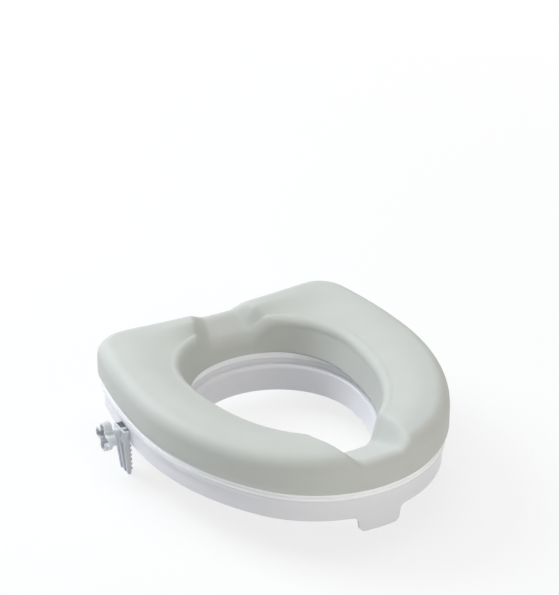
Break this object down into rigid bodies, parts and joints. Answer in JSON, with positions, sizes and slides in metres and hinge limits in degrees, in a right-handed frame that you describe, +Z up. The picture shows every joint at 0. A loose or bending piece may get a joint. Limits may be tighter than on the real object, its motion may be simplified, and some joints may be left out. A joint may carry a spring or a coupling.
{
  "type": "raised toilet seat",
  "caption": "Raised toilet seat: D-shaped foam cushion with front and rear channels on a two-lip plastic base, with a splash guard, a front tab and screw-adjusted side clamps.",
  "frame": {"origin": "centre of the bounding box in plan, at the level of the clamp arms' tips, the lowest points", "axes": "+Z up, -Y towards the front of the seat, X across; X = 0 is the plane of symmetry"},
  "size_m": [0.432, 0.418, 0.1347],
  "materials": {
    "cushion_foam": "soft matt skin of moulded polyurethane foam",
    "base_white": "semi-gloss moulded white polypropylene",
    "carrier_white": "semi-gloss moulded white polypropylene",
    "clamp_grey": "satin moulded light grey polyamide",
    "pad_rubber": "matt moulded rubber",
    "zinc_screw": "zinc-plated steel",
    "spring_steel": "spring steel",
    "washer_white": "natural polyamide",
    "nut_steel": "zinc-plated steel"
  },
  "bodies": {
    "seat": {"base_ring": "base_white", "splash_guard": "base_white", "carrier_plate": "carrier_white", "seat_cushion": "cushion_foam", "base_screws": "zinc_screw", "front_left_pad": "pad_rubber", "front_right_pad": "pad_rubber", "rear_left_pad": "pad_rubber", "rear_right_pad": "pad_rubber", "left_clamp_nut": "nut_steel", "right_clamp_nut": "nut_steel"},
    "left_jaw": {"left_clamp_jaw": "clamp_grey"},
    "left_knob": {"left_clamp_knob": "clamp_grey", "left_clamp_screw": "clamp_grey", "left_screw_clip": "spring_steel", "left_thrust_washer": "washer_white"},
    "right_jaw": {"right_clamp_jaw": "clamp_grey"},
    "right_knob": {"right_clamp_knob": "clamp_grey", "right_clamp_screw": "clamp_grey", "right_screw_clip": "spring_steel", "right_thrust_washer": "washer_white"}
  },
  "joints": [
    {"name": "left_jaw_slide", "type": "slide", "parent": "seat", "child": "left_jaw", "axis": [-1, 0, 0], "range_m": [0, 0.018]},
    {"name": "left_knob_turn", "type": "hinge", "parent": "left_jaw", "child": "left_knob", "pos_m": [-0.19401, 0.0943, 0.057], "axis": [-1, 0, 0], "range_deg": [0, 2160]},
    {"name": "right_jaw_slide", "type": "slide", "parent": "seat", "child": "right_jaw", "axis": [1, 0, 0], "range_m": [0, 0.018]},
    {"name": "right_knob_turn", "type": "hinge", "parent": "right_jaw", "child": "right_knob", "pos_m": [0.19401, 0.0943, 0.057], "axis": [1, 0, 0], "range_deg": [0, 2160]}
  ],
  "couplings": [
    {"joint": "left_knob_turn", "follows": "left_jaw_slide", "rad_per_m": 2094.4},
    {"joint": "right_knob_turn", "follows": "right_jaw_slide", "rad_per_m": 2094.4}
  ]
}
